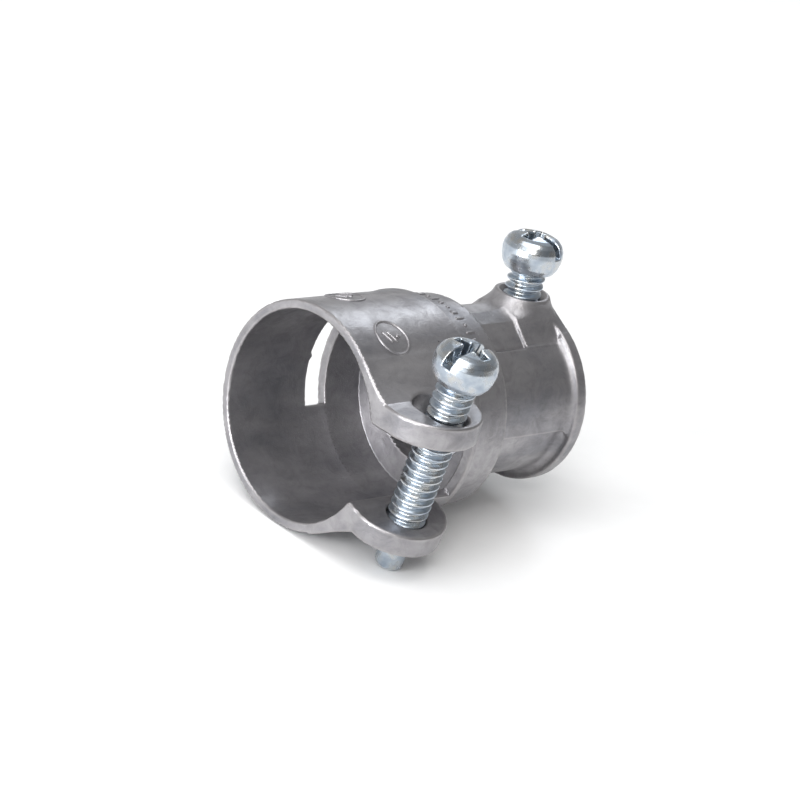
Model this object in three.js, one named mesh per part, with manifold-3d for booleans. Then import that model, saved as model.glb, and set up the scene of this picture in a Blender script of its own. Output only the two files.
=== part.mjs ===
// Half-inch coupling that joins flexible conduit to thin-wall steel tube.
// A zinc casting with a split clamp ring at one end and a set-screw socket at the other.
// The pieces are drawn with X along the bore from the clamp mouth (X = 0) to the tube end, Z in the
// set screw's direction and the clamp's two ears towards -Y, in millimetres. At the end they are all
// moved back by LENGTH, so that the origin is the centre of the tube end.

import * as THREE from 'three';
import Module from 'manifold-3d';
import { mergeVertices } from 'three/addons/utils/BufferGeometryUtils.js';

const wasm = await Module();
wasm.setup();

// ---- driving dimensions, mm ----
const LENGTH = 38.1;          // clamp mouth to tube end
const BAND_W = 12.7;          // width of the clamp band along X
const SLOT_W = 3.2;           // slot between band and collar
const BORE_R = 12.7;          // clamp bore
const BAND_R = 13.9;          // outside of the clamp band at its mouth
const RIM_R = 14.1;           // outside at the collar's front rim
const RIM_END = 16.8;         // X where that rim steps down to the collar
const COLLAR_R = 13.3;        // collar behind the rim
const COLLAR_R1 = 13.2;       // collar at its rear edge
const COLLAR_END = 22.3;      // X of the collar's rear edge
const SHOULDER_X = 21.0;      // stop face for the flexible conduit
const SHOULDER_R = 11.9;      // bore just in front of the stop face
const THROAT_R = 8.0;         // wire way between the two ends
const SOCKET_X = 22.6;        // stop face for the steel tube
const SOCKET_R = 9.1;         // bore for the 17.93 mm tube
const BARREL_R = 10.3;        // outside of the socket
const PANEL_R = 10.8;         // raised side panels on the socket
const FLANGE_R = 11.7;        // bead round the tube end
const FLANGE_T = 1.7;         // its thickness

const SPLIT_LOW = -28.8;      // degrees from -Y towards +Z: where the lower web ends
const ARM_TOP = 53;           // where the free arm starts, and the bridge ends
const BRIDGE_END = 113;       // other end of the bridge
const SLOT_END = 204;         // lower end of the slot on the far side
const ARM_GAP = 0.3;          // gap left at the arm's root

const EAR_X = 6.35;           // ear and clamp screw, along X
const EAR_R = 6.35;           // rounded end of each ear
const SCREW_TILT = 9.3;       // clamp screw leans from Z towards -Y, degrees
const SCREW_OFF = 15.9;       // clamp screw's distance from the bore's axis
const UPPER_TILT = 3.0;       // the upper ear's faces
const LOWER_TILT = 12.0;      // the lower ear's faces
const UPPER_FACES = [5.1, 8.25];
const LOWER_FACES = [-6.35, -3.4];
const EAR_CENTRE = 14.2;      // centre of the rounded end, out from the bore's axis

const THREAD_R = 2.38;        // No. 10-24 screws
const TAPPED_R = 2.45;
const CLEAR_R = 2.65;         // slotted hole in the upper ear
const HOLE_OFFS = [-2.0, -1.2, -0.4, 0.25];   // its steps along the ear; it swings in as the arm bends
const HEAD_R = 3.85;
const HEAD_H = 5.0;
const POINT_R = 1.75;
const CLAMP_SEAT = 14.2;      // underside of the clamp screw's head, along the screw
const CLAMP_REACH = 25.4;     // length below the head
const CLAMP_POINT = 3.0;      // length of the plain point
const BOSS_X = 34.1;
const BOSS_TOP = 13.5;
const BOSS_R = 3.45;
const SET_SEAT = 16.4;
const SET_REACH = 6.35;
const SET_POINT = 1.2;

const ROUND = 96;             // sides of the large round faces

const rad = (d) => d * Math.PI / 180;
const slots = {
  zinc_casting: { color: 0x8d898b, metalness: 0.85, roughness: 0.45 },
  bright_zinc_steel: { color: 0xc3c9cf, metalness: 0.95, roughness: 0.22 },
};

// ---- helpers ----
function toSolid(geometry) {
  const bare = new THREE.BufferGeometry();
  bare.setAttribute('position', geometry.getAttribute('position'));
  if (geometry.index) bare.setIndex(geometry.index);
  const g = mergeVertices(bare, 1e-5);
  return new wasm.Manifold(new wasm.Mesh({
    numProp: 3,
    vertProperties: new Float32Array(g.getAttribute('position').array),
    triVerts: new Uint32Array(g.index.array),
  }));
}

function toMesh(name, solid, slot) {
  const m = solid.getMesh();
  const g = new THREE.BufferGeometry();
  g.setAttribute('position', new THREE.BufferAttribute(new Float32Array(m.vertProperties), 3));
  g.setIndex(new THREE.BufferAttribute(new Uint32Array(m.triVerts), 1));
  g.translate(-LENGTH, 0, 0);
  g.computeVertexNormals();
  const mesh = new THREE.Mesh(g, new THREE.MeshStandardMaterial({ name: slot, ...slots[slot] }));
  mesh.name = name;
  return mesh;
}

// closed profile of [x, r] pairs turned round the X axis
function turned(profile, sides = ROUND) {
  const pts = profile.map(([x, r]) => new THREE.Vector2(r, x));
  pts.push(pts[0].clone());
  const g = new THREE.LatheGeometry(pts, sides);
  // lathe axis Y becomes X
  g.applyMatrix4(new THREE.Matrix4().makeBasis(
    new THREE.Vector3(0, 0, 1), new THREE.Vector3(1, 0, 0), new THREE.Vector3(0, 1, 0)));
  return outward(g);
}

// turn a solid the right way out if its faces point inwards
function outward(g) {
  let s = toSolid(g);
  if (s.volume() < 0 || s.isEmpty()) {
    const src = g.index ? g : mergeVertices(g);
    const idx = src.index.array;
    for (let i = 0; i < idx.length; i += 3) [idx[i], idx[i + 1]] = [idx[i + 1], idx[i]];
    s = toSolid(src);
  }
  return s;
}

// outline of [y, z] pairs, straight through from x0 to x1
function alongX(outline, x0, x1) {
  const shape = new THREE.Shape(outline.map(([y, z]) => new THREE.Vector2(y, z)));
  const g = new THREE.ExtrudeGeometry(shape, { depth: x1 - x0, bevelEnabled: false });
  g.applyMatrix4(new THREE.Matrix4().makeBasis(
    new THREE.Vector3(0, 1, 0), new THREE.Vector3(0, 0, 1), new THREE.Vector3(1, 0, 0)));
  g.translate(x0, 0, 0);
  return outward(g);
}

// place a solid modelled along +Z so that Z leans by `tilt` towards -Y
function leaned(g, tilt) {
  g.applyMatrix4(new THREE.Matrix4().makeRotationX(rad(tilt)));
  return outward(g);
}

// upright round bar between heights s0 and s1, with centre (x, out) in the leaned frame
function bar(x, out, r0, r1, s0, s1, tilt, sides = 32) {
  const pts = [[0, s0], [r0, s0], [r1, s1], [0, s1]].map(([r, s]) => new THREE.Vector2(r, s));
  const g = new THREE.LatheGeometry(pts, sides);
  g.applyMatrix4(new THREE.Matrix4().makeRotationX(Math.PI / 2));
  g.translate(x, -out, 0);
  return leaned(g, tilt);
}

const polar = (r, deg) => [-r * Math.cos(rad(deg)), r * Math.sin(rad(deg))];

// point in the Y-Z plane that lies `out` from the axis and `s` up, in a frame leaned by tilt
const leanedPoint = (out, s, tilt) => [
  -out * Math.cos(rad(tilt)) - s * Math.sin(rad(tilt)),
  -out * Math.sin(rad(tilt)) + s * Math.cos(rad(tilt)),
];

// wedge of the Y-Z plane from angle a to angle b, counted from -Y towards +Z
function wedge(a, b, x0, x1) {
  const n = Math.max(2, Math.ceil(Math.abs(b - a) / 30));
  const far = [];
  for (let i = 0; i <= n; i += 1) far.push(polar(30, a + (b - a) * i / n));
  return alongX([[0, 0], ...far], x0, x1);
}

// plan of an ear: straight sides with a rounded end, as a tall prism in the leaned frame
function earPlan(tilt) {
  const outline = [[EAR_X + EAR_R, 0], [EAR_X - EAR_R, 0]];
  const n = 24;
  for (let i = 0; i <= n; i += 1) {
    const a = Math.PI * (1 - i / n);
    outline.push([EAR_X + EAR_R * Math.cos(a), -EAR_CENTRE - EAR_R * Math.sin(a)]);
  }
  const shape = new THREE.Shape(outline.map(([x, y]) => new THREE.Vector2(x, y)));
  const g = new THREE.ExtrudeGeometry(shape, { depth: 40, bevelEnabled: false });
  g.translate(0, 0, -20);
  return leaned(g, tilt);
}

// ---- clamp end ----
const slotX = BAND_W + SLOT_W;
const bore = turned([[-2, 0], [slotX + 1, 0], [slotX + 1, BORE_R], [-2, BORE_R]]);

const outside = (x) => BAND_R + (RIM_R - BAND_R) * x / RIM_END;   // casting draft
const bandRing = turned([[0, BORE_R], [0, BAND_R - 0.25], [0.25, outside(0.25)],
  [BAND_W, outside(BAND_W)], [BAND_W, BORE_R]]);
const webRing = turned([[BAND_W, BORE_R], [BAND_W, outside(BAND_W)], [slotX, outside(slotX)],
  [slotX, BORE_R]]);

const farOut = 24;
const upperJaw = alongX([
  polar(BAND_R, ARM_TOP - 4), leanedPoint(13.4, UPPER_FACES[1], UPPER_TILT),
  leanedPoint(farOut, UPPER_FACES[1], UPPER_TILT), leanedPoint(farOut, UPPER_FACES[0], UPPER_TILT),
  leanedPoint(11.5, UPPER_FACES[0], UPPER_TILT), polar(12.4, ARM_TOP - 4),
], 0, BAND_W).intersect(earPlan(UPPER_TILT));

const lowerJaw = alongX([
  polar(BAND_R, -63), leanedPoint(14.6, LOWER_FACES[0], LOWER_TILT),
  leanedPoint(farOut, LOWER_FACES[0], LOWER_TILT), leanedPoint(farOut, LOWER_FACES[1], LOWER_TILT),
  leanedPoint(11.5, LOWER_FACES[1], LOWER_TILT), polar(12.4, -50),
], 0, BAND_W).intersect(earPlan(LOWER_TILT));

const split = alongX([
  leanedPoint(6, UPPER_FACES[0], UPPER_TILT), leanedPoint(farOut, UPPER_FACES[0], UPPER_TILT),
  leanedPoint(farOut, LOWER_FACES[1], LOWER_TILT), leanedPoint(6, LOWER_FACES[1], LOWER_TILT),
], -2, BAND_W + 0.001);

const rootGap = ARM_GAP / 2 / BAND_R * 180 / Math.PI;
const armSector = wedge(-10, ARM_TOP - rootGap, -2, BAND_W + 0.001);
const armAndGap = wedge(-10, ARM_TOP + rootGap, -2, BAND_W + 0.001);

const clampArm = HOLE_OFFS.reduce(
  (arm, off) => arm.subtract(bar(EAR_X, SCREW_OFF + off, CLEAR_R, CLEAR_R, 0, 14, SCREW_TILT)),
  bandRing.intersect(armSector).add(upperJaw.intersect(armSector)).subtract(split).subtract(bore));

const clampBand = bandRing.subtract(armAndGap).add(lowerJaw).subtract(split)
  .add(webRing.subtract(wedge(SPLIT_LOW, ARM_TOP, 0, slotX + 1))
    .subtract(wedge(BRIDGE_END, SLOT_END, 0, slotX + 1)))
  .subtract(bore)
  .subtract(bar(EAR_X, SCREW_OFF, TAPPED_R, TAPPED_R, -12, 0, SCREW_TILT));

// ---- collar between the two ends ----
const centreCollar = turned([
  [slotX, BORE_R], [slotX, outside(slotX)], [RIM_END - 0.2, RIM_R], [RIM_END, RIM_R - 0.2],
  [RIM_END + 0.3, COLLAR_R], [COLLAR_END - 0.6, COLLAR_R1 + 0.1], [COLLAR_END, COLLAR_R1 - 0.35],
  [SOCKET_X, BARREL_R + 1.2], [SOCKET_X, THROAT_R], [SHOULDER_X, THROAT_R],
  [SHOULDER_X, SHOULDER_R],
]);

// ---- set-screw socket ----
const tubeWay = turned([[SOCKET_X - 1, 0], [LENGTH + 1, 0], [LENGTH + 1, SOCKET_R + 0.35],
  [LENGTH, SOCKET_R + 0.35], [LENGTH - 0.6, SOCKET_R], [SOCKET_X - 1, SOCKET_R]]);

function panel(a, b) {
  const shell = turned([[SOCKET_X, BARREL_R - 0.5], [SOCKET_X, PANEL_R], [LENGTH - FLANGE_T, PANEL_R],
    [LENGTH - FLANGE_T, BARREL_R - 0.5]]);
  return shell.intersect(wedge(a, b, SOCKET_X, LENGTH));
}

const spineOutline = [[-4.8, 9.2], [-3.0, 11.1], [-1.2, 11.8], [1.2, 11.8], [3.0, 11.1], [4.8, 9.2]];
const cheekOutline = [[-6.4, 8.2], [-6.2, 8.9], [-3.0, 11.9], [-1.0, 12.3], [1.0, 12.3], [3.0, 11.9],
  [6.2, 8.9], [6.4, 8.2]];

const emtSocket = turned([[SOCKET_X, SOCKET_R], [SOCKET_X, BARREL_R + 0.9], [SOCKET_X + 1, BARREL_R],
  [LENGTH - FLANGE_T - 0.9, BARREL_R], [LENGTH - FLANGE_T, FLANGE_R - 0.15],
  [LENGTH - FLANGE_T + 0.3, FLANGE_R], [LENGTH - 0.3, FLANGE_R], [LENGTH, FLANGE_R - 0.3],
  [LENGTH, SOCKET_R]])
  .add(panel(-6, 55)).add(panel(125, 186))
  .add(alongX(spineOutline, SOCKET_X, BOSS_X))
  .add(alongX(cheekOutline, BOSS_X - 3.6, LENGTH - FLANGE_T))
  .add(bar(BOSS_X, 0, BOSS_R + 0.45, BOSS_R, 8.5, BOSS_TOP, 0, 48))
  .subtract(tubeWay)
  .subtract(bar(BOSS_X, 0, TAPPED_R, TAPPED_R, 5, BOSS_TOP + 1, 0))
  .subtract(bar(BOSS_X, 0, TAPPED_R - 0.2, TAPPED_R + 0.4, BOSS_TOP - 0.6, BOSS_TOP + 0.01, 0));

// ---- screws ----
// fillister head and shank; heights are along the screw, with the head's underside at `seat`
function screw(x, out, seat, reach, pointH, tilt, slotTurn) {
  const foot = seat - reach + pointH;
  const crown = [[0, foot], [THREAD_R - 0.25, foot], [THREAD_R, foot + 0.25], [THREAD_R, seat],
    [HEAD_R - 1.45, seat], [HEAD_R - 0.75, seat + 0.4], [HEAD_R - 0.3, seat + 1.05],
    [HEAD_R - 0.05, seat + 1.9], [HEAD_R, seat + 2.6], [HEAD_R - 0.1, seat + 3.3],
    [HEAD_R - 0.4, seat + 3.95], [HEAD_R - 0.85, seat + 4.4], [HEAD_R - 1.4, seat + 4.65],
    [HEAD_R - 2.6, seat + HEAD_H - 0.08], [0, seat + HEAD_H]];
  const g = new THREE.LatheGeometry(crown.map(([r, s]) => new THREE.Vector2(r, s)), 40);
  g.applyMatrix4(new THREE.Matrix4().makeRotationX(Math.PI / 2));
  let body = outward(g);
  const cuts = [[1.15, 9, 2.2], [1.25, 4.8, 2.8]];
  cuts.forEach(([w, l, d], i) => {
    const box = new THREE.BoxGeometry(w, l, d + 1);
    box.translate(0, 0, seat + HEAD_H - d + (d + 1) / 2);
    box.rotateZ(rad(slotTurn + 90 * i));
    body = body.subtract(outward(box));
  });
  const m = body.getMesh();
  const placed = new THREE.BufferGeometry();
  placed.setAttribute('position', new THREE.BufferAttribute(new Float32Array(m.vertProperties), 3));
  placed.setIndex(new THREE.BufferAttribute(new Uint32Array(m.triVerts), 1));
  placed.translate(x, -out, 0);
  return leaned(placed, tilt);
}

function point(x, out, seat, reach, pointH, tilt) {
  const tip = seat - reach;
  return bar(x, out, POINT_R, POINT_R, tip + 0.35, tip + pointH, tilt, 24)
    .add(bar(x, out, POINT_R - 0.45, POINT_R, tip, tip + 0.35, tilt, 24));
}

const part = new THREE.Group();
part.name = 'conduit_coupling';
part.add(toMesh('clamp_band', clampBand, 'zinc_casting'));
part.add(toMesh('clamp_arm', clampArm, 'zinc_casting'));
part.add(toMesh('centre_collar', centreCollar, 'zinc_casting'));
part.add(toMesh('emt_socket', emtSocket, 'zinc_casting'));
part.add(toMesh('clamp_screw', screw(EAR_X, SCREW_OFF, CLAMP_SEAT, CLAMP_REACH, CLAMP_POINT,
  SCREW_TILT, 97), 'bright_zinc_steel'));
part.add(toMesh('clamp_screw_point', point(EAR_X, SCREW_OFF, CLAMP_SEAT, CLAMP_REACH, CLAMP_POINT,
  SCREW_TILT), 'bright_zinc_steel'));
part.add(toMesh('set_screw', screw(BOSS_X, 0, SET_SEAT, SET_REACH, SET_POINT, 0, 12),
  'bright_zinc_steel'));
part.add(toMesh('set_screw_point', point(BOSS_X, 0, SET_SEAT, SET_REACH, SET_POINT, 0),
  'bright_zinc_steel'));

export default part;
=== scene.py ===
"""Half-inch coupling from thin-wall steel tube to flexible conduit: a zinc die casting with a split clamp
ring and a set-screw socket, and its two bright zinc-plated screws.

The casting and the screw heads are solids of distance functions: every face is a distance in millimetres,
faces are joined with a rounded union or intersection as in a casting, and the zero surface is meshed.
The threads, raised marks and screw points are grids of two parameters."""
import math

import bmesh
import bpy
import numpy as np
from mathutils import Matrix, Vector


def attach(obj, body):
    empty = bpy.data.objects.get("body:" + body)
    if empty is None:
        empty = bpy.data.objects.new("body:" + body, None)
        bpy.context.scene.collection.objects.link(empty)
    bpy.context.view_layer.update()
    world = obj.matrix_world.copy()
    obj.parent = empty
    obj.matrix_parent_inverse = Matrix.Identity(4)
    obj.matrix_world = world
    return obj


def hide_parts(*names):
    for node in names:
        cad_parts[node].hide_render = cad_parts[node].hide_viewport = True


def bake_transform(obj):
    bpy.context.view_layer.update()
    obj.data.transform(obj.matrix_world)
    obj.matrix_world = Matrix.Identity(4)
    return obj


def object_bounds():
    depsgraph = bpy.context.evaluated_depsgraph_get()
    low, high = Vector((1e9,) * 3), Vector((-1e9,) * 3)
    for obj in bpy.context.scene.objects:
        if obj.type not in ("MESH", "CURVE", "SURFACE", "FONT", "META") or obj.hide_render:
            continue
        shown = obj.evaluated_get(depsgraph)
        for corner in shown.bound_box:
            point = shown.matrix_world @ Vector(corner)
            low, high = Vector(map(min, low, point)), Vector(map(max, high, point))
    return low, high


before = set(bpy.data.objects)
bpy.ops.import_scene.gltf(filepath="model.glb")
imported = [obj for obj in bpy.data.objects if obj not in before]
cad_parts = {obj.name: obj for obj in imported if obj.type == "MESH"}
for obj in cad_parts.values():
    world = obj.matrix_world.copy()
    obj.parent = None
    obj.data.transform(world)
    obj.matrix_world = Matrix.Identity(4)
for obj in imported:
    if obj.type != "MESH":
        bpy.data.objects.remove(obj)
CAD_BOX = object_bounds()

bl_info = {
    "name": "Conduit coupling",
    "version": (1, 0, 0),
    "blender": (4, 5, 0),
    "location": "View3D > Sidebar > Coupling",
    "description": "Builds a zinc coupling with a clamp ring, a set-screw socket and two screws",
    "category": "Add Mesh",
}

MM = 0.001
LENGTH = 38.1                 # clamp mouth to tube end; sizes below are in mm from the clamp mouth

# ---- casting, mm and degrees; angles run from -Y towards +Z ----
BAND_W, SLOT_W = 12.7, 3.2
BORE_R, BAND_R = 12.7, 13.9
RIM_R, RIM_END = 14.1, 16.8
COLLAR_R, COLLAR_END = 13.25, 22.3
SHOULDER_X, SHOULDER_R, THROAT_R = 21.0, 11.9, 8.0
SOCKET_X, SOCKET_R, BARREL_R, PANEL_R = 22.6, 9.1, 10.3, 10.8
FLANGE_R, FLANGE_T = 11.7, 1.7
SPLIT_LOW, ARM_TOP, BRIDGE_END, SLOT_END = -28.8, 53.0, 113.0, 204.0
EAR_X, EAR_R, EAR_CENTRE = 6.35, 6.35, 14.2
SCREW_TILT, SCREW_OFF = 9.3, 15.9
UPPER_TILT, LOWER_TILT = 3.0, 12.0
UPPER_FACES, LOWER_FACES = (5.1, 8.25), (-6.35, -3.4)
BOSS_X, BOSS_TOP, BOSS_R = 34.1, 13.5, 3.45
TAPPED_R = 2.45               # holes in the lower ear and the boss
EAR_HOLE = (0.875, 1.125, 2.62)   # upper ear's slotted hole: offset inwards, half length, radius
FLARE_START, FLARE_RISE, DRAFT_RISE = BAND_W - 0.4, 0.15, 0.05
BEND_R = 13.3                 # middle of the band's wall

# ---- screws, mm ----
PITCH, CREST_R, ROOT_R = 1.0583, 2.38, 1.88
HEAD_R, HEAD_H, POINT_R = 3.85, 5.0, 1.75
SLOT_CUT = (1.15, 2.2)        # width and depth of the driver slot
CROSS_CUT = (1.25, 4.8, 2.8)  # width, length and depth of the cross recess
CLAMP = {"x": EAR_X, "out": SCREW_OFF, "seat": 14.2, "reach": 25.4, "point": 3.0,
         "tilt": SCREW_TILT, "turn": 97.0}
SET = {"x": BOSS_X, "out": 0.0, "seat": 16.4, "reach": 6.35, "point": 1.2, "tilt": 0.0, "turn": 12.0}


# ---------------------------------------------------------------- distances
def least(a, b, k=0.0):
    """Union: the smaller distance, rounded over a width k where the two are close."""
    if k <= 0:
        return np.minimum(a, b)
    h = np.maximum(k - np.abs(a - b), 0.0)
    return np.minimum(a, b) - h * h / (4 * k)


def most(a, b, k=0.0):
    """Intersection: the larger distance, rounded over a width k."""
    return -least(-a, -b, k)


def both(k, first, *rest):
    """Intersection of many distances, rounded over k."""
    for d in rest:
        first = most(first, d, k)
    return first


def polar(r, deg):
    return -r * math.cos(math.radians(deg)), r * math.sin(math.radians(deg))


def leaned_point(out, s, tilt):
    """Point of the Y-Z plane `out` from the bore's axis and `s` up, in a frame leaned by tilt."""
    c, n = math.cos(math.radians(tilt)), math.sin(math.radians(tilt))
    return -out * c - s * n, -out * n + s * c


def leaned(y, z, tilt):
    """Coordinates (out, s) of points in the frame leaned by tilt."""
    c, n = math.cos(math.radians(tilt)), math.sin(math.radians(tilt))
    return -y * c - z * n, -y * n + z * c


def outline(u, v, pts):
    """Signed distance to a polygon: the least distance to its edges, negative inside by the winding rule."""
    d = np.full(u.shape, 1e9, u.dtype)
    inside = np.zeros(u.shape, bool)
    for (au, av), (bu, bv) in zip(pts, pts[1:] + pts[:1]):
        eu, ev = bu - au, bv - av
        wu, wv = u - au, v - av
        t = np.clip((wu * eu + wv * ev) / (eu * eu + ev * ev), 0, 1)
        d = np.minimum(d, (wu - t * eu) ** 2 + (wv - t * ev) ** 2)
        crosses = ((av > v) != (bv > v)) & (u < (bu - au) * (v - av) / ((bv - av) or 1e-9) + au)
        inside ^= crosses
    d = np.sqrt(d)
    return np.where(inside, -d, d)


def ring(x, r, pts, soft):
    """Turned solid: the distance to its profile in (x, radius), with corners rounded by `soft`."""
    return outline(x, r, pts) - soft


def sector(y, z, a, b):
    """Distance to the wedge between angles a and b (less than a half turn apart)."""
    a, b = math.radians(a), math.radians(b)
    low = y * math.sin(a) * -1 - z * math.cos(a)
    high = y * math.sin(b) + z * math.cos(b)
    return np.maximum(low, high)


def outside(x):
    """Radius of the band's outside: almost straight, then a flare over the bridge up to the rim."""
    flare = np.clip((x - FLARE_START) / (RIM_END - BAND_W), 0, 1)
    return BAND_R + DRAFT_RISE * x / BAND_W + FLARE_RISE * flare


def clamp_ring(x, y, z, r):
    """Band and bridge: a drafted ring with the slot cut through it over two spans."""
    edge = 0.22
    outer = (r - outside(x)) * 0.99
    wall = both(edge, outer, BORE_R - r, -x, x - (BAND_W + SLOT_W + 0.6))
    in_slot = np.maximum(BAND_W - x, x - (BAND_W + SLOT_W))
    near = np.maximum(in_slot, np.minimum(sector(y, z, SPLIT_LOW, 10), sector(y, z, 5, ARM_TOP)))
    far = np.maximum(in_slot, np.minimum(sector(y, z, BRIDGE_END, 170), sector(y, z, 165, SLOT_END)))
    return most(wall, -least(near, far), edge)


def ear_plan(x, out):
    """Distance to an ear's plan: straight sides with a rounded end."""
    d = np.hypot(x - EAR_X, np.maximum(out - EAR_CENTRE, 0)) - EAR_R
    return np.where(out > EAR_CENTRE, d, np.abs(x - EAR_X) - EAR_R)


def jaws(x, y, z):
    """Both ears: outlines in the Y-Z plane carried along X and trimmed to the ear's plan."""
    far = 24.0
    ou, su = leaned(y, z, UPPER_TILT)
    up = outline(y, z, [polar(13.3, 50), leaned_point(13.2, UPPER_FACES[1] - 0.1, UPPER_TILT),
                        leaned_point(far, UPPER_FACES[1] - 0.05, UPPER_TILT),
                        leaned_point(far, UPPER_FACES[0], UPPER_TILT),
                        leaned_point(11.5, UPPER_FACES[0], UPPER_TILT), polar(12.4, 47)])
    up = most(up, ear_plan(x, ou), 0.35)
    ol, sl = leaned(y, z, LOWER_TILT)
    low = outline(y, z, [polar(13.8, -63), leaned_point(14.4, LOWER_FACES[0] + 0.05, LOWER_TILT),
                         leaned_point(far, LOWER_FACES[0], LOWER_TILT),
                         leaned_point(far, LOWER_FACES[1], LOWER_TILT),
                         leaned_point(11.5, LOWER_FACES[1], LOWER_TILT), polar(12.4, -50)])
    low = most(low, ear_plan(x, ol), 0.35)
    return up, low


def clamp_end(x, y, z, r):
    """Clamp band with its two ears, split, bore and screw holes."""
    band = clamp_ring(x, y, z, r)
    up, low = jaws(x, y, z)
    body = least(least(band, up, 1.3), low, 0.9)
    _, su = leaned(y, z, UPPER_TILT)
    ol, sl = leaned(y, z, LOWER_TILT)
    gap = np.maximum(np.maximum(su - UPPER_FACES[0], LOWER_FACES[1] - sl), 6.0 - ol)
    gap = np.maximum(gap, x - (BAND_W + 0.02))
    body = most(body, -gap, 0.3)
    body = both(0.25, body, BORE_R - r, -x)
    in_slot = np.maximum(BAND_W - x, sector(y, z, SPLIT_LOW, ARM_TOP))
    body = most(body, -np.maximum(in_slot, x - (BAND_W + SLOT_W)), 0.2)
    o, s = leaned(y, z, SCREW_TILT)
    inwards, half, radius = EAR_HOLE
    slotted = np.hypot(x - EAR_X, np.maximum(np.abs(o - (SCREW_OFF - inwards)) - half, 0)) - radius
    body = most(body, -np.maximum(slotted, -s), 0.3)
    tapped = np.hypot(x - EAR_X, o - SCREW_OFF) - TAPPED_R
    body = most(body, -np.maximum(tapped, s), 0.3)
    # a tooth of flash where the die halves met, on the band's rear edge
    ty, tz = polar(BEND_R, 175)
    tooth = np.sqrt((x - BAND_W) ** 2 + (y - ty) ** 2 * 0.5 + (z - tz) ** 2) - 0.42
    return least(body, tooth, 0.25)


def collar(x, r):
    """Turned collar between the two ends, with the stop face for the flexible conduit."""
    soft = 0.12
    body = ring(x, r, [(15.9 + soft, BORE_R + soft), (15.9 + soft, RIM_R - 0.02 - soft),
                       (RIM_END - soft, RIM_R - soft), (RIM_END + 0.1, COLLAR_R + 0.1 - soft),
                       (COLLAR_END - soft - 0.15, COLLAR_R - soft), (COLLAR_END - soft, COLLAR_R - 0.45),
                       (SOCKET_X - soft, BARREL_R), (SOCKET_X - soft, THROAT_R + soft),
                       (SHOULDER_X + soft, THROAT_R + soft), (SHOULDER_X + soft, SHOULDER_R + soft)],
                soft)
    return body


def socket(x, y, z, r):
    """Set-screw socket: barrel, two raised side panels, bead, spine, cheeks and boss."""
    end = x - LENGTH
    barrel = both(0.2, r - BARREL_R, SOCKET_X - 0.5 - x, end)
    # raised panels, cut square at their long edges
    wing = np.minimum(sector(y, z, -6, 55), sector(y, z, 125, 186))
    panels = both(0.12, r - PANEL_R, wing, SOCKET_X - 0.5 - x, end + FLANGE_T - 0.3)
    body = least(barrel, panels, 0.08)
    bead = both(0.35, r - FLANGE_R, -(end + FLANGE_T), end)
    body = least(body, bead, 1.3)
    spine = both(1.0, outline(y, z, [(-5.2, 8.6), (-3.0, 11.1), (-1.2, 11.9), (1.2, 11.9), (3.0, 11.1),
                                     (5.2, 8.6)]), SOCKET_X - 0.5 - x, x - (BOSS_X + 2.0))
    body = least(body, spine, 1.2)
    cheeks = both(0.2, outline(y, z, [(-6.4, 8.0), (-6.2, 8.8), (-3.4, 11.3), (-1.6, 11.7), (1.6, 11.7),
                                      (3.4, 11.3), (6.2, 8.8), (6.4, 8.0)]),
                  (BOSS_X - 3.75) - x, end + FLANGE_T - 0.2)
    body = least(body, cheeks, 0.25)
    rb = np.hypot(x - BOSS_X, y)
    boss = both(0.35, (rb - (BOSS_R + 0.09 * (BOSS_TOP - z))) * 0.995, z - BOSS_TOP, 8.0 - z)
    body = least(body, boss, 2.8)
    return most(body, end, 0.2), rb


def casting(x, y, z):
    """Whole casting: clamp end, collar and socket in one piece, less the bores and holes."""
    r = np.hypot(y, z)
    body = least(clamp_end(x, y, z, r), collar(x, r), 0.12)
    tube, rb = socket(x, y, z, r)
    body = least(body, tube, 0.5)
    way = np.maximum(r - SOCKET_R, SOCKET_X - x)
    mouth = np.maximum(r - (SOCKET_R + (x - (LENGTH - 0.6)) * 0.6), LENGTH - 0.7 - x)
    body = most(body, -least(way, mouth), 0.15)
    body = most(body, THROAT_R - r, 0.15)
    hole = np.maximum(rb - TAPPED_R, 5.0 - z)
    sink = rb - (2.3 + (z - (BOSS_TOP - 0.65)))
    sink = np.maximum(sink, BOSS_TOP - 1.5 - z)
    return most(body, -least(hole, sink), 0.15)


def head(x, y, z, turn):
    """Fillister head, its underside at z = 0: a barrel-sided turned solid less a slot and a cross recess."""
    r = np.hypot(x, y)
    soft = 0.3
    body = outline(r, z, [(-1.0, soft), (2.35, soft), (2.92, 0.56), (3.28, 1.15), (3.50, 1.95), (3.56, 2.6),
                          (3.48, 3.22), (3.22, 3.78), (2.86, 4.14), (2.35, 4.38), (1.25, 4.62),
                          (0.4, HEAD_H - soft), (-1.0, HEAD_H - soft)]) - soft
    c, s = math.cos(math.radians(turn)), math.sin(math.radians(turn))
    a, b = x * c + y * s, -x * s + y * c
    slot = np.maximum(np.abs(a) - SLOT_CUT[0] / 2, (HEAD_H - SLOT_CUT[1]) - z)
    taper = (HEAD_H - z) * 0.28
    w, l = CROSS_CUT[0] / 2, CROSS_CUT[1] / 2
    arm1 = np.maximum(np.abs(b) - w, np.abs(a) - (l - taper))
    arm2 = np.maximum(np.abs(a) - w, np.abs(b) - (l - taper))
    cross = np.maximum(least(arm1, arm2, 0.3), (HEAD_H - CROSS_CUT[2]) - z)
    return most(most(body, -slot, 0.16), -cross, 0.16)


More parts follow.
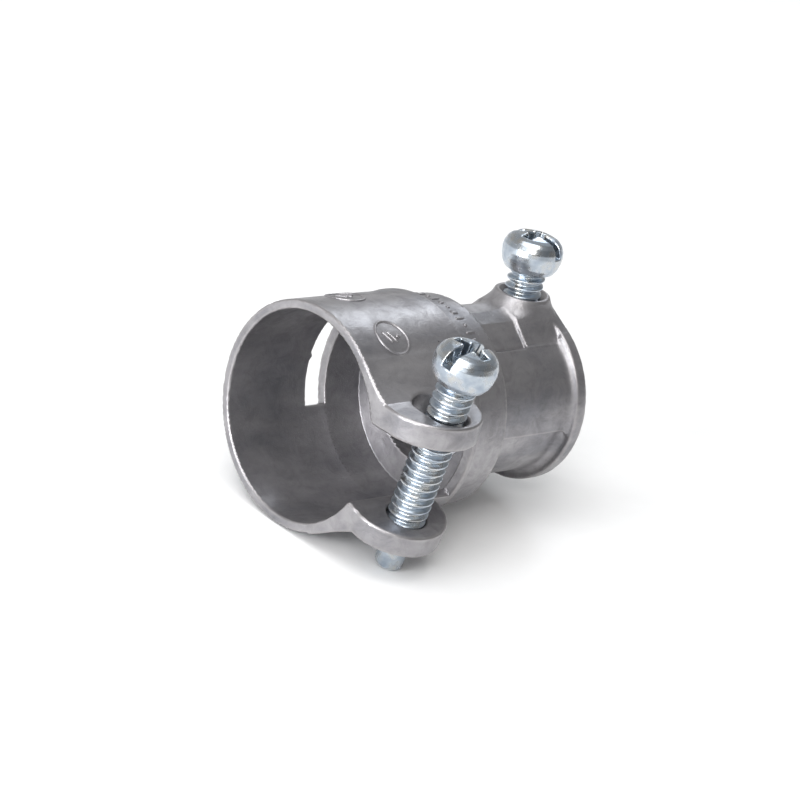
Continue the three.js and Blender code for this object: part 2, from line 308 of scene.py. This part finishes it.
# ---------------------------------------------------------------- meshing
def zero_surface(field, low, high, step):
    """Mesh of a distance function's zero surface.

    One vertex stands in every grid cell that the surface crosses, at the mean of its edge crossings, and is
    then slid along the gradient onto the surface. Each grid edge with a sign change gives one quad."""
    axes = [np.arange(lo, hi + step, step) for lo, hi in zip(low, high)]
    n = [len(a) for a in axes]
    f = np.empty(n, np.float32)
    for i0 in range(0, n[0], 24):
        X, Y, Z = np.meshgrid(axes[0][i0:i0 + 24].astype(np.float32), axes[1].astype(np.float32),
                              axes[2].astype(np.float32), indexing="ij")
        f[i0:i0 + 24] = field(X, Y, Z)
    f[f == 0] = 1e-6
    inside = f < 0
    cell_n = [m - 1 for m in n]
    flats, points = [], []
    for axis in range(3):
        lo = [slice(None)] * 3
        hi = [slice(None)] * 3
        lo[axis], hi[axis] = slice(0, -1), slice(1, None)
        a, b = f[tuple(lo)], f[tuple(hi)]
        e = np.argwhere((a < 0) != (b < 0))
        va, vb = a[tuple(e.T)], b[tuple(e.T)]
        p = e.astype(float)
        p[:, axis] += va / (va - vb)
        o1, o2 = [m for m in range(3) if m != axis]
        for d1, d2 in ((0, 0), (0, 1), (1, 0), (1, 1)):
            c = e.copy()
            c[:, o1] -= d1
            c[:, o2] -= d2
            ok = (c[:, o1] >= 0) & (c[:, o2] >= 0) & (c[:, o1] < cell_n[o1]) & (c[:, o2] < cell_n[o2])
            flats.append(np.ravel_multi_index(c[ok].T, cell_n))
            points.append(p[ok])
    flats, points = np.concatenate(flats), np.concatenate(points)
    used, slot = np.unique(flats, return_inverse=True)
    count = np.bincount(slot)
    verts = np.stack([np.bincount(slot, weights=points[:, m]) / count for m in range(3)], 1)
    verts = verts * step + np.array(low)
    index = np.full(int(np.prod(cell_n)), -1, np.int64)
    index[used] = np.arange(len(used))
    index = index.reshape(cell_n)
    quads = []
    for axis in range(3):
        lo = [slice(None)] * 3
        hi = [slice(None)] * 3
        lo[axis], hi[axis] = slice(0, -1), slice(1, None)
        o1, o2 = (axis + 1) % 3, (axis + 2) % 3
        e = np.argwhere(inside[tuple(lo)] != inside[tuple(hi)])
        e = e[(e[:, o1] > 0) & (e[:, o2] > 0) & (e[:, o1] < n[o1] - 1) & (e[:, o2] < n[o2] - 1)]
        corner = []
        for d1, d2 in ((1, 1), (0, 1), (0, 0), (1, 0)):
            c = e.copy()
            c[:, o1] -= d1
            c[:, o2] -= d2
            corner.append(index[tuple(c.T)])
        q = np.stack(corner, 1)
        flip = ~inside[tuple(e.T)]
        q[flip] = q[flip][:, ::-1]
        quads.append(q)
    quads = np.concatenate(quads)
    for _ in range(4):
        g, d = gradient(field, verts)
        move = np.clip(d[:, None] * g, -step, step)
        verts = verts - 0.9 * move
    return verts, quads


def gradient(field, p, h=0.02):
    """Unit gradient and distance of a field at points, by central differences."""
    g = np.zeros(p.shape)
    for m in range(3):
        d = np.zeros(3)
        d[m] = h
        a, b = p + d, p - d
        g[:, m] = field(a[:, 0], a[:, 1], a[:, 2]) - field(b[:, 0], b[:, 1], b[:, 2])
    size = np.linalg.norm(g, axis=1)
    size[size < 1e-9] = 1
    value = field(p[:, 0], p[:, 1], p[:, 2])
    return g / size[:, None], value / np.maximum(size / (2 * h), 0.3)


def bend_of(field, p, h=0.35):
    """How convex (+) or hollow (-) the surface is, from the field's Laplacian, about -1 to 1."""
    total = -6 * field(p[:, 0], p[:, 1], p[:, 2])
    for m in range(3):
        for s in (-h, h):
            d = np.zeros(3)
            d[m] = s
            a = p + d
            total = total + field(a[:, 0], a[:, 1], a[:, 2])
    return np.clip(total / h, -1, 1)


# ---------------------------------------------------------------- mesh helpers
def to_row(p):
    """Drawing coordinates in mm to the row's frame in metres: the origin moves to the tube end."""
    return (np.asarray(p, float) - np.array([LENGTH, 0, 0])) * MM


def new_mesh(name, verts, faces, material, normals, edge):
    """Object at the origin from drawing coordinates, with the given vertex normals and edge measure."""
    mesh = bpy.data.meshes.new(name)
    mesh.from_pydata(to_row(verts).tolist(), [], np.asarray(faces).tolist())
    mesh.validate()
    bm = bmesh.new()
    bm.from_mesh(mesh)
    rim = [e for e in bm.edges if e.is_boundary]
    if rim:                                   # cap the cut through the wall, where the arm leaves the casting
        bmesh.ops.holes_fill(bm, edges=rim, sides=0)
        bmesh.ops.triangulate(bm, faces=[f for f in bm.faces if len(f.verts) > 4])
        bmesh.ops.recalc_face_normals(bm, faces=bm.faces)
        bm.to_mesh(mesh)
    bm.free()
    mesh.polygons.foreach_set("use_smooth", np.ones(len(mesh.polygons), bool))
    obj = bpy.data.objects.new(name, mesh)
    bpy.context.scene.collection.objects.link(obj)
    att = mesh.attributes.new("edge", "FLOAT", "POINT")
    att.data.foreach_set("value", np.asarray(edge, np.float32))
    mesh.normals_split_custom_set_from_vertices(np.asarray(normals, float).tolist())
    mesh.materials.append(material)
    return obj


def grid_faces(rows, cols):
    """Quads of a grid of rows by cols that closes round its columns."""
    i, j = np.meshgrid(np.arange(rows - 1), np.arange(cols), indexing="ij")
    k = (j + 1) % cols
    a, b = i * cols + j, i * cols + k
    c, d = (i + 1) * cols + k, (i + 1) * cols + j
    return np.stack([a, b, c, d], -1).reshape(-1, 4)


def capped(verts, rows, cols):
    """Faces of a closed tube of rows by cols: its quads, and a fan at each end to an added centre."""
    faces = grid_faces(rows, cols).tolist()
    first, last = verts[:cols].mean(0), verts[-cols:].mean(0)
    n = len(verts)
    j = np.arange(cols)
    k = (j + 1) % cols
    faces += np.stack([k, j, np.full(cols, n)], 1).tolist()
    base = (rows - 1) * cols
    faces += np.stack([base + j, base + k, np.full(cols, n + 1)], 1).tolist()
    return np.vstack([verts, first, last]), faces


def on_screw(spec, a, b, s):
    """Point (a, b, s) of a screw's own frame, s along it, in drawing coordinates."""
    c, n = math.cos(math.radians(spec["tilt"])), math.sin(math.radians(spec["tilt"]))
    out = spec["out"] - b
    return np.stack([spec["x"] + a, -out * c - s * n, -out * n + s * c], -1)


def on_wall(x, deg, radius, dx, arc, rise):
    """Point of a cylinder's wall moved dx along the bore, arc round it and rise off it."""
    phi = np.radians(deg) + arc / radius
    r = radius + rise
    return np.stack([x + dx, -r * np.cos(phi), r * np.sin(phi)], -1)


# ---------------------------------------------------------------- materials
def linear(hexcode):
    """sRGB hex to linear RGBA."""
    v = np.array([int(hexcode[i:i + 2], 16) for i in (1, 3, 5)]) / 255
    v = np.where(v <= 0.04045, v / 12.92, ((v + 0.055) / 1.055) ** 2.4)
    return (*v.tolist(), 1.0)


def node(tree, kind, settings=None, links=None):
    """Add a node: settings name its properties or sockets, links feed sockets from (node, output)."""
    n = tree.nodes.new(kind)
    for key, value in (settings or {}).items():
        if isinstance(key, str) and hasattr(n, key):
            setattr(n, key, value)
        else:
            n.inputs[key].default_value = value
    for key, (source, output) in (links or {}).items():
        tree.links.new(source.outputs[output], n.inputs[key])
    return n


def ramp(tree, source, stops):
    """Colour ramp from (position, colour) stops."""
    n = node(tree, "ShaderNodeValToRGB", links={"Fac": source})
    e = n.color_ramp.elements
    while len(e) < len(stops):
        e.new(0.5)
    for item, (pos, colour) in zip(e, stops):
        item.position, item.color = pos, colour
    return n


def grey(v):
    return (v, v, v, 1.0)


def blank(name):
    m = bpy.data.materials.new(name)
    m.use_nodes = True
    m.node_tree.nodes.clear()
    return m, m.node_tree


def die_cast_zinc():
    """Zinc alloy, pressure die cast and tumbled: satin grey, cloudy from the metal's flow, with fine pits and
    soot stains, its convex edges smoother and painted lighter, a painted highlight on top of their burnish."""
    m, t = blank("die_cast_zinc")
    s = bpy.context.scene.coupling_finish
    where = node(t, "ShaderNodeTexCoord")
    # clouds about 6 mm across, drawn out along the bore as the metal ran
    runs = node(t, "ShaderNodeMapping", {"Scale": (60.0, 170.0, 170.0)}, {"Vector": (where, "Object")})
    cloud = node(t, "ShaderNodeTexNoise", {"Scale": 1.0, "Detail": 5.0, "Roughness": 0.62}, {"Vector": (runs, 0)})
    # soot and die-release stains, 2 to 4 mm
    stain = node(t, "ShaderNodeTexNoise", {"Scale": 420.0, "Detail": 6.0, "Roughness": 0.7, "Distortion": 0.6},
                 {"Vector": (where, "Object")})
    # grain of the cast skin, 0.15 mm
    grain = node(t, "ShaderNodeTexNoise", {"Scale": 5200.0, "Detail": 2.0}, {"Vector": (where, "Object")})
    pits = node(t, "ShaderNodeTexVoronoi", {"Scale": 900.0, "Randomness": 1.0}, {"Vector": (where, "Object")})
    edge = node(t, "ShaderNodeAttribute", {"attribute_name": "edge"})
    tone = ramp(t, (cloud, 0), [(0.30, linear("#85858a")), (0.50, linear(s.casting_colour)),
                                (0.72, linear("#b4b2b4"))])
    stains = ramp(t, (stain, 0), [(0.36, grey(0.62)), (0.56, grey(1.0))])
    mix1 = node(t, "ShaderNodeMix", {"data_type": "RGBA", "blend_type": "MULTIPLY", "Factor": 0.55})
    t.links.new(tone.outputs[0], mix1.inputs["A"])
    t.links.new(stains.outputs[0], mix1.inputs["B"])
    # convex edges mixed towards a lighter grey and made smoother: painted highlight along the edges, on top of
    # their burnish from tumbling
    burnish_and_highlight = ramp(t, (edge, 2), [(0.0, grey(0.0)), (0.25, grey(0.0)), (0.8, grey(0.4))])
    mix2 = node(t, "ShaderNodeMix", {"data_type": "RGBA", "blend_type": "MIX"})
    t.links.new(burnish_and_highlight.outputs[0], mix2.inputs["Factor"])
    t.links.new(mix1.outputs["Result"], mix2.inputs["A"])
    # the lighter grey of the painted edge highlight and burnish
    mix2.inputs["B"].default_value = linear("#b4b0b0")
    rough = ramp(t, (stain, 0), [(0.30, grey(s.casting_roughness + 0.13)),
                                 (0.70, grey(s.casting_roughness - 0.05))])
    less = node(t, "ShaderNodeMath", {"operation": "MULTIPLY_ADD", 1: -0.08}, {0: (burnish_and_highlight, 0), 2: (rough, 0)})
    pit = ramp(t, (pits, 0), [(0.0, grey(0.0)), (0.16, grey(1.0))])
    h1 = node(t, "ShaderNodeMath", {"operation": "MULTIPLY_ADD", 1: 0.35}, {0: (grain, 0), 2: (stain, 0)})
    h2 = node(t, "ShaderNodeMath", {"operation": "MULTIPLY_ADD", 1: 0.20}, {0: (pit, 0), 2: (h1, 0)})
    bump = node(t, "ShaderNodeBump", {"Strength": 0.5, "Distance": 0.00012}, {"Height": (h2, 0)})
    shader = node(t, "ShaderNodeBsdfPrincipled", {"Metallic": 0.84},     # a dull oxide film over the metal
                  {"Base Color": (mix2, "Result"), "Roughness": (less, 0), "Normal": (bump, 0)})
    node(t, "ShaderNodeOutputMaterial", links={"Surface": (shader, 0)})
    return m


def bright_zinc_plate():
    """Steel, cold headed and thread rolled, electroplated with bright zinc under a clear blue passivate: near
    mirror, faintly blue, with fine rolling lines and small dull patches."""
    m, t = blank("bright_zinc_plate")
    s = bpy.context.scene.coupling_finish
    where = node(t, "ShaderNodeTexCoord")
    patch = node(t, "ShaderNodeTexNoise", {"Scale": 700.0, "Detail": 4.0}, {"Vector": (where, "Object")})
    fine = node(t, "ShaderNodeTexNoise", {"Scale": 6000.0, "Detail": 2.0}, {"Vector": (where, "Object")})
    tone = ramp(t, (patch, 0), [(0.3, linear("#a3aebb")), (0.5, linear(s.screw_colour)),
                                (0.75, linear("#cbc8c2"))])
    rough = ramp(t, (patch, 0), [(0.3, grey(s.screw_roughness + 0.10)), (0.65, grey(s.screw_roughness - 0.02))])
    height = node(t, "ShaderNodeMath", {"operation": "MULTIPLY_ADD", 1: 0.25}, {0: (fine, 0), 2: (patch, 0)})
    bump = node(t, "ShaderNodeBump", {"Strength": 0.35, "Distance": 0.00008}, {"Height": (height, 0)})
    shader = node(t, "ShaderNodeBsdfPrincipled", {"Metallic": 1.0},
                  {"Base Color": (tone, 0), "Roughness": (rough, 0), "Normal": (bump, 0)})
    node(t, "ShaderNodeOutputMaterial", links={"Surface": (shader, 0)})
    return m


def matt_board():
    """White card, matt."""
    m, t = blank("white_card")
    where = node(t, "ShaderNodeTexCoord")
    fibre = node(t, "ShaderNodeTexNoise", {"Scale": 300.0, "Detail": 3.0}, {"Vector": (where, "Object")})
    tone = ramp(t, (fibre, 0), [(0.0, linear("#f6f6f6")), (1.0, linear("#fbfbfb"))])
    shader = node(t, "ShaderNodeBsdfPrincipled", {"Roughness": 0.9}, {"Base Color": (tone, 0)})
    node(t, "ShaderNodeOutputMaterial", links={"Surface": (shader, 0)})
    return m


# ---------------------------------------------------------------- settings
class CouplingFinish(bpy.types.PropertyGroup):
    """Finishes of the two metals."""
    casting_colour: bpy.props.StringProperty(
        name="Casting colour", description="Main grey of the zinc casting, as sRGB hex", default="#9c9a9d")
    casting_roughness: bpy.props.FloatProperty(
        name="Casting roughness", description="How satin the cast skin is", default=0.36, min=0.1, max=0.9,
        subtype="FACTOR")
    screw_colour: bpy.props.StringProperty(
        name="Screw colour", description="Main tint of the zinc plating, as sRGB hex", default="#bcc4cc")
    screw_roughness: bpy.props.FloatProperty(
        name="Screw roughness", description="How mirror-like the plating is", default=0.25, min=0.03, max=0.6,
        subtype="FACTOR")


class CouplingSizes(bpy.types.PropertyGroup):
    """Sizes of the surface details."""
    cell: bpy.props.FloatProperty(
        name="Mesh cell", description="Grid step of the casting's mesh", default=0.3 * MM, min=0.2 * MM,
        max=1.0 * MM, unit="LENGTH", precision=5)
    head_cell: bpy.props.FloatProperty(
        name="Head mesh cell", description="Grid step of a screw head's mesh", default=0.12 * MM,
        min=0.08 * MM, max=0.5 * MM, unit="LENGTH", precision=5)
    mark_rise: bpy.props.FloatProperty(
        name="Mark height", description="How far the raised marks stand off the casting", default=0.16 * MM,
        min=0.05 * MM, max=0.4 * MM, unit="LENGTH", precision=5)


# ---------------------------------------------------------------- pieces
ARM_ROOT = (57.0, 47.0)       # angles at the root of the clamp's free arm; the casting is parted from the arm at the first


class COUPLING_OT_casting(bpy.types.Operator):
    """Mesh the casting, and part it where the clamp's free arm begins"""
    bl_idname = "coupling.casting"
    bl_label = "Casting"

    def execute(self, context):
        step = context.scene.coupling_sizes.cell / MM
        verts, quads = zero_surface(casting, (-0.61, -21.31, -14.93), (38.8, 14.6, 14.6), step)
        normals, _ = gradient(casting, verts)
        edge = bend_of(casting, verts)
        middle = verts[quads].mean(1)
        angle = np.degrees(np.arctan2(middle[:, 2], -middle[:, 1]))
        free = (middle[:, 0] < BAND_W + 0.2) & (angle > -8) & (angle < ARM_ROOT[0] + 0.5)
        zinc = die_cast_zinc()
        for name, pick, nodes, body in (
                ("casting_skin", ~free, ("clamp_band", "centre_collar", "emt_socket"), "casting"),
                ("arm_skin", free, ("clamp_arm",), "arm")):
            used, faces = np.unique(quads[pick], return_inverse=True)
            faces = faces.reshape(-1, 4)
            obj = new_mesh(name, verts[used], faces, zinc, normals[used], edge[used])
            if body == "arm":
                start = to_row([EAR_X, *polar(BEND_R, ARM_ROOT[0])])
                end = to_row([EAR_X, *polar(BEND_R, ARM_ROOT[1])])
                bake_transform(obj)
            else:
                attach(obj, body)
            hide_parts(*nodes)
        return {"FINISHED"}


def pillow(x, deg, radius, half_x, half_arc, rise, square=0.6, turn=0.0):
    """Closed cushion on the wall: a superellipsoid, its plan half_x by half_arc, squarer as `square` falls."""
    rows, cols = 9, 24
    th = np.linspace(0, 2 * np.pi, cols, endpoint=False)[None, :]
    et = np.linspace(-np.pi / 2, np.pi / 2, rows)[:, None]

    def power(v, e):
        return np.sign(v) * np.abs(v) ** e
    ring_size = power(np.cos(et), 0.6)
    a = half_x * ring_size * power(np.cos(th), square)
    b = half_arc * ring_size * power(np.sin(th), square)
    h = rise * power(np.sin(et), 0.8) + 0 * th
    c, s = math.cos(math.radians(turn)), math.sin(math.radians(turn))
    return on_wall(x, deg, radius, a * c - b * s, a * s + b * c, h).reshape(-1, 3), rows, cols


def oval_bead(x, deg, radius, half_x, half_arc, width, rise):
    """Closed bead: a half-sunk round section carried along an oval on the wall."""
    cols, rows = 10, 72
    t = np.linspace(0, 2 * np.pi, rows, endpoint=False)[:, None]
    q = np.linspace(0, 2 * np.pi, cols, endpoint=False)[None, :]
    swell = width * np.cos(q)
    a = (half_x + swell) * np.cos(t)
    b = (half_arc + swell) * np.sin(t)
    h = rise * np.sin(q) + 0 * t
    v = on_wall(x, deg, radius, a, b, h).reshape(-1, 3)
    faces = np.vstack([grid_faces(rows, cols), np.stack([
        (rows - 1) * cols + np.arange(cols), (rows - 1) * cols + (np.arange(cols) + 1) % cols,
        (np.arange(cols) + 1) % cols, np.arange(cols)], 1)])
    return v, faces


# what stands inside an oval: offset along the bore, half sizes, squareness and lean of two bars and a dot
OVAL_PLAN = ((-0.72, 0.16, 0.95, 0.5, 24.0), (0.0, 0.16, 0.95, 0.5, 24.0), (0.85, 0.30, 0.30, 1.0, 0.0))
# the collar's pips: half sizes and squareness, taken in turn
PIP_PLAN = ((0.42, 0.30, 0.5), (0.75, 0.20, 0.4), (0.28, 0.28, 1.0), (0.75, 0.20, 0.4), (0.55, 0.42, 0.5),
            (0.28, 0.28, 1.0))


class COUPLING_OT_marks(bpy.types.Operator):
    """Raised marks: two ovals with plain bars and a dot on the band, and a row of pips on the collar"""
    bl_idname = "coupling.marks"
    bl_label = "Raised marks"

    def execute(self, context):
        rise = context.scene.coupling_sizes.mark_rise / MM
        zinc = bpy.data.materials["die_cast_zinc"]
        for name, x, deg in (("oval_mark_front", 6.2, 62.8), ("oval_mark_top", 6.9, 104.0)):
            wall = float(outside(x))
            verts, faces = oval_bead(x, deg, wall, 2.15, 2.5, 0.2, rise)
            parts, lists, n = [verts], [faces.tolist()], len(verts)
            for dx, hx, ha, square, lean in OVAL_PLAN:
                v, rows, cols = pillow(x + dx, deg, wall, hx, ha, rise, square, lean)
                v, f = capped(v, rows, cols)
                parts.append(v)
                lists.append([[i + n for i in face] for face in f])
                n += len(v)
            self.place(name, np.vstack(parts), sum(lists, []), zinc)
        parts, lists, n = [], [], 0
        for i, deg in enumerate(np.arange(57.0, 124.0, 5.2)):
            hx, ha, square = PIP_PLAN[i % len(PIP_PLAN)]
            v, rows, cols = pillow(19.45, deg, COLLAR_R, hx, ha, rise * 1.25, square)
            v, f = capped(v, rows, cols)
            parts.append(v)
            lists.append([[k + n for k in face] for face in f])
            n += len(v)
        self.place("collar_pips", np.vstack(parts), sum(lists, []), zinc)
        return {"FINISHED"}

    def place(self, name, verts, faces, zinc):
        obj = ragged_mesh(name, verts, faces, zinc)
        # a fixed edge measure, so the material paints each mark a little lighter: painted highlight on the raised
        # marks, on top of their burnish
        att = obj.data.attributes.new("edge", "FLOAT", "POINT")
        att.data.foreach_set("value", np.full(len(obj.data.vertices), 0.45, np.float32))
        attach(obj, "casting")


def ragged_mesh(name, verts, faces, material):
    """Object from quads and triangles together, doubles merged and faces turned outwards."""
    mesh = bpy.data.meshes.new(name)
    mesh.from_pydata(to_row(verts).tolist(), [], faces)
    bm = bmesh.new()
    bm.from_mesh(mesh)
    bmesh.ops.remove_doubles(bm, verts=bm.verts, dist=1e-7)
    bmesh.ops.recalc_face_normals(bm, faces=bm.faces)
    bm.to_mesh(mesh)
    bm.free()
    mesh.validate()
    mesh.polygons.foreach_set("use_smooth", np.ones(len(mesh.polygons), bool))
    obj = bpy.data.objects.new(name, mesh)
    bpy.context.scene.collection.objects.link(obj)
    mesh.materials.append(material)
    return obj


def thread(spec):
    """Rolled thread: the radius at height s and angle q is the root plus a flat-topped wave of
    s / pitch - q / turn, so its crest climbs one pitch in each right-hand turn."""
    cols = 56
    foot = spec["seat"] - spec["reach"] + spec["point"]
    top = spec["seat"] + 0.4
    rows = int((top - foot) / PITCH * 18) + 1
    s = np.linspace(foot, top, rows)[:, None]
    q = np.linspace(0, 2 * np.pi, cols, endpoint=False)[None, :]
    phase = s / PITCH - q / (2 * np.pi)
    wave = np.abs(2 * (phase - np.floor(phase)) - 1)          # 0 in the root, 1 on the crest
    wave = np.clip((wave - 0.14) / 0.68, 0, 1)
    wave = wave * wave * (3 - 2 * wave) * 0.35 + wave * 0.65
    r = ROOT_R + (CREST_R - ROOT_R) * wave
    lead_in = POINT_R + 0.05 + (s - foot) * 0.9               # chamfer at the foot
    r = np.minimum(r, lead_in)
    runout = np.clip((s - (spec["seat"] - 0.5)) / 0.5, 0, 1)
    r = r * (1 - runout) + 2.05 * runout
    v = on_screw(spec, r * np.cos(q), r * np.sin(q), s + 0 * q).reshape(-1, 3)
    return capped(v, rows, cols)


def plain_point(spec):
    """Plain point: a short turned stub with a chamfered, slightly dished tip."""
    cols = 48
    tip = spec["seat"] - spec["reach"]
    top = tip + spec["point"] + 0.15
    profile = np.array([(0.0, 0.10), (0.7, 0.06), (1.15, 0.0), (1.32, 0.0), (POINT_R - 0.10, 0.22),
                        (POINT_R, 0.40), (POINT_R, top - tip - 0.2), (POINT_R, top - tip)])
    q = np.linspace(0, 2 * np.pi, cols, endpoint=False)[None, :]
    r, s = profile[1:, :1], tip + profile[1:, 1:]
    v = on_screw(spec, r * np.cos(q), r * np.sin(q), s + 0 * q).reshape(-1, 3)
    return capped(v, len(profile) - 1, cols)


def screw_objects(context, name, spec):
    """Head and threaded shank on the turning body, and the plain point on the travelling body."""
    plate = bpy.data.materials.get("bright_zinc_plate") or bright_zinc_plate()
    step = context.scene.coupling_sizes.head_cell / MM

    def field(x, y, z):
        return head(x, y, z, spec["turn"])
    edge = HEAD_R + 0.3
    verts, quads = zero_surface(field, (-edge, -edge, -0.3), (edge, edge, HEAD_H + 0.3), step)
    hv = on_screw(spec, verts[:, 0], verts[:, 1], verts[:, 2] + spec["seat"])
    tv, tf = thread(spec)
    n = len(hv)
    faces = quads.tolist() + [[i + n for i in f] for f in tf]
    obj = ragged_mesh(name, np.vstack([hv, tv]), faces, plate)
    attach(obj, name + "_body")
    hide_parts(name)
    pv, pf = plain_point(spec)
    tip = ragged_mesh(name + "_tip", pv, pf, plate)
    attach(tip, name + "_travel")
    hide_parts(name + "_point")


class COUPLING_OT_clamp_screw(bpy.types.Operator):
    """Long fillister-head screw through both ears of the clamp"""
    bl_idname = "coupling.clamp_screw"
    bl_label = "Clamp screw"

    def execute(self, context):
        screw_objects(context, "clamp_screw", CLAMP)
        return {"FINISHED"}


class COUPLING_OT_set_screw(bpy.types.Operator):
    """Short fillister-head screw in the boss"""
    bl_idname = "coupling.set_screw"
    bl_label = "Set screw"

    def execute(self, context):
        screw_objects(context, "set_screw", SET)
        return {"FINISHED"}


# ---------------------------------------------------------------- stage
def soft_box(name, place, aim, width, height, watts, colour=(1, 1, 1)):
    light = bpy.data.lights.new(name, "AREA")
    light.shape = "RECTANGLE"
    light.size, light.size_y = width, height
    light.energy = watts
    light.color = colour
    obj = bpy.data.objects.new(name, light)
    bpy.context.scene.collection.objects.link(obj)
    obj.location = place
    obj.rotation_euler = (Vector(aim) - Vector(place)).to_track_quat("-Z", "Y").to_euler()
    return obj


class COUPLING_OT_stage(bpy.types.Operator):
    """Floor, soft light and camera"""
    bl_idname = "coupling.stage"
    bl_label = "Stage"

    def execute(self, context):
        scene = context.scene
        low = min(CAD_BOX[0][2], CAD_BOX[1][2])
        half = 2.5
        mesh = bpy.data.meshes.new("floor")
        mesh.from_pydata([(-half, -half, low), (half, -half, low), (half, half, low), (-half, half, low)], [],
                         [(0, 1, 2, 3)])
        floor = bpy.data.objects.new("floor", mesh)
        scene.collection.objects.link(floor)
        mesh.materials.append(matt_board())

        world = bpy.data.worlds.new("studio")
        scene.world = world
        world.use_nodes = True
        tree = world.node_tree
        where = node(tree, "ShaderNodeTexCoord")
        height = node(tree, "ShaderNodeSeparateXYZ", links={0: (where, "Generated")})
        lift = node(tree, "ShaderNodeMath", {"operation": "MULTIPLY_ADD", 1: 0.5, 2: 0.5}, {0: (height, 2)})
        tone = ramp(tree, (lift, 0), [(0.0, grey(0.62)), (0.50, grey(0.62)), (0.60, grey(0.44)),
                                      (0.75, grey(0.36)), (1.0, grey(0.36))])
        # the side behind the fitting is the paler one
        side = node(tree, "ShaderNodeMath", {"operation": "MULTIPLY_ADD", 1: 0.45, 2: 0.85}, {0: (height, 1)})
        tree.links.new(tone.outputs[0], tree.nodes["Background"].inputs["Color"])
        tree.links.new(side.outputs[0], tree.nodes["Background"].inputs["Strength"])
        sun = bpy.data.lights.new("overhead", "SUN")
        sun.energy = 1.75
        sun.angle = math.radians(50)
        lamp = bpy.data.objects.new("overhead", sun)
        scene.collection.objects.link(lamp)
        lamp.rotation_euler = Vector((0.35, 0.12, -0.93)).to_track_quat("-Z", "Y").to_euler()
        middle = (-0.02, -0.002, 0.0)
        soft_box("window", (0.38, 0.27, 0.40), middle, 0.15, 0.20, 0.45, (0.88, 0.94, 1.0))
        soft_box("front", (-0.42, -0.34, 0.34), middle, 0.22, 0.16, 1.1, (1.0, 0.985, 0.96))
        soft_box("mouth", (-0.60, -0.06, 0.10), middle, 0.30, 0.30, 3.8, (0.96, 0.98, 1.0))

        camera = bpy.data.cameras.new("camera")
        camera.sensor_width = 36.0
        camera.lens = 114.17
        camera.clip_start = 0.01
        eye = bpy.data.objects.new("camera", camera)
        scene.collection.objects.link(eye)
        right, up = Vector((0.7238, -0.6555, 0.2155)), Vector((0.0935, 0.4027, 0.9106))
        right.normalize()
        up = (up - right * up.dot(right)).normalized()
        away = right.cross(up)
        eye.matrix_world = Matrix.Translation((-0.23417, -0.19891, 0.11020)) @ Matrix(
            (right, up, away)).transposed().to_4x4()
        scene.camera = eye
        scene.view_settings.view_transform = "Standard"
        return {"FINISHED"}


class COUPLING_PT_panel(bpy.types.Panel):
    """Lists the pieces and their settings"""
    bl_idname = "COUPLING_PT_panel"
    bl_label = "Conduit coupling"
    bl_space_type = "VIEW_3D"
    bl_region_type = "UI"
    bl_category = "Coupling"

    def draw(self, context):
        for group in (context.scene.coupling_sizes, context.scene.coupling_finish):
            for key in group.__annotations__:
                self.layout.prop(group, key)
        for cls in OPERATORS:
            self.layout.operator(cls.bl_idname)


OPERATORS = (COUPLING_OT_casting, COUPLING_OT_marks, COUPLING_OT_clamp_screw, COUPLING_OT_set_screw,
             COUPLING_OT_stage)
CLASSES = (CouplingFinish, CouplingSizes) + OPERATORS + (COUPLING_PT_panel,)


def register():
    for cls in CLASSES:
        bpy.utils.register_class(cls)
    bpy.types.Scene.coupling_finish = bpy.props.PointerProperty(type=CouplingFinish)
    bpy.types.Scene.coupling_sizes = bpy.props.PointerProperty(type=CouplingSizes)


def unregister():
    del bpy.types.Scene.coupling_sizes
    del bpy.types.Scene.coupling_finish
    for cls in reversed(CLASSES):
        bpy.utils.unregister_class(cls)


def main():
    register()
    for call in (bpy.ops.coupling.casting, bpy.ops.coupling.marks, bpy.ops.coupling.clamp_screw,
                 bpy.ops.coupling.set_screw, bpy.ops.coupling.stage):
        if call() != {"FINISHED"}:
            raise RuntimeError("a piece was not built")


if __name__ == "__main__":
    main()
